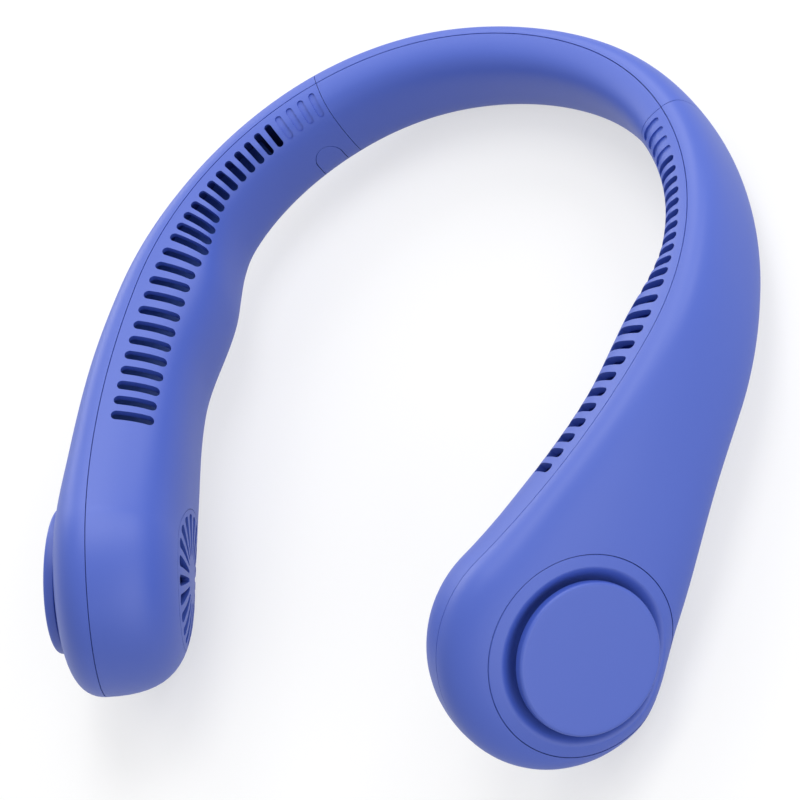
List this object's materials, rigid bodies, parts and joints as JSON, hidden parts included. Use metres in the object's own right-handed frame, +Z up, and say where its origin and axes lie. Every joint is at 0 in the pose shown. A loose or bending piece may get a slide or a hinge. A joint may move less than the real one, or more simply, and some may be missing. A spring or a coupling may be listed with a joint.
{
  "type": "electric neck fan",
  "caption": "U-shaped fan worn round the neck: hollow plastic arms with a blower in each end, air slots along the top and a side button.",
  "frame": {"origin": "on the table under the middle of the fan as it lies with its ridge up", "axes": "+Z up, +Y towards the back of the neck, +X to the right seen from the open front of the U"},
  "size_m": [0.1794, 0.1852, 0.0559],
  "materials": {
    "shell_plastic": "satin",
    "inner_plastic": "matt",
    "wheel_plastic": "satin",
    "cell_wrap": "gloss",
    "board": "gloss",
    "lead_cover": "matt",
    "motor_steel": "brushed"
  },
  "bodies": {
    "housing": {"neck_outer_shell": "shell_plastic", "neck_inner_shell": "shell_plastic", "cross_lead": "lead_cover", "button_switch": "inner_plastic", "control_board": "board", "port_board": "board", "usb_socket": "motor_steel", "left_arm_outer_shell": "shell_plastic", "left_arm_inner_shell": "shell_plastic", "left_intake_cover": "shell_plastic", "left_intake_cap": "shell_plastic", "left_inner_grille": "shell_plastic", "left_duct_floor": "inner_plastic", "left_fan_scroll": "inner_plastic", "left_joint_sleeve": "inner_plastic", "left_battery_cell": "cell_wrap", "left_motor_base": "inner_plastic", "left_motor_stator": "motor_steel", "right_arm_outer_shell": "shell_plastic", "right_arm_inner_shell": "shell_plastic", "right_intake_cover": "shell_plastic", "right_intake_cap": "shell_plastic", "right_inner_grille": "shell_plastic", "right_duct_floor": "inner_plastic", "right_fan_scroll": "inner_plastic", "right_joint_sleeve": "inner_plastic", "right_battery_cell": "cell_wrap", "right_motor_base": "inner_plastic", "right_motor_stator": "motor_steel"},
    "left_fan": {"left_fan_wheel": "wheel_plastic", "left_rotor_bell": "motor_steel", "left_motor_shaft": "motor_steel"},
    "right_fan": {"right_fan_wheel": "wheel_plastic", "right_rotor_bell": "motor_steel", "right_motor_shaft": "motor_steel"},
    "button": {"power_button": "shell_plastic"}
  },
  "joints": [
    {"name": "left_fan_spin", "type": "hinge", "parent": "housing", "child": "left_fan", "pos_m": [-0.07043, -0.06445, 0.02603], "axis": [-0.8879, -0.2519, 0.3849], "continuous": true},
    {"name": "right_fan_spin", "type": "hinge", "parent": "housing", "child": "right_fan", "pos_m": [0.07043, -0.06445, 0.02603], "axis": [0.8879, -0.2519, 0.3849], "continuous": true},
    {"name": "power_button_press", "type": "slide", "parent": "housing", "child": "button", "axis": [-0.5283, 0.6175, 0.5827], "range_m": [0, 0.0005], "stiffness_N_per_m": 400}
  ]
}
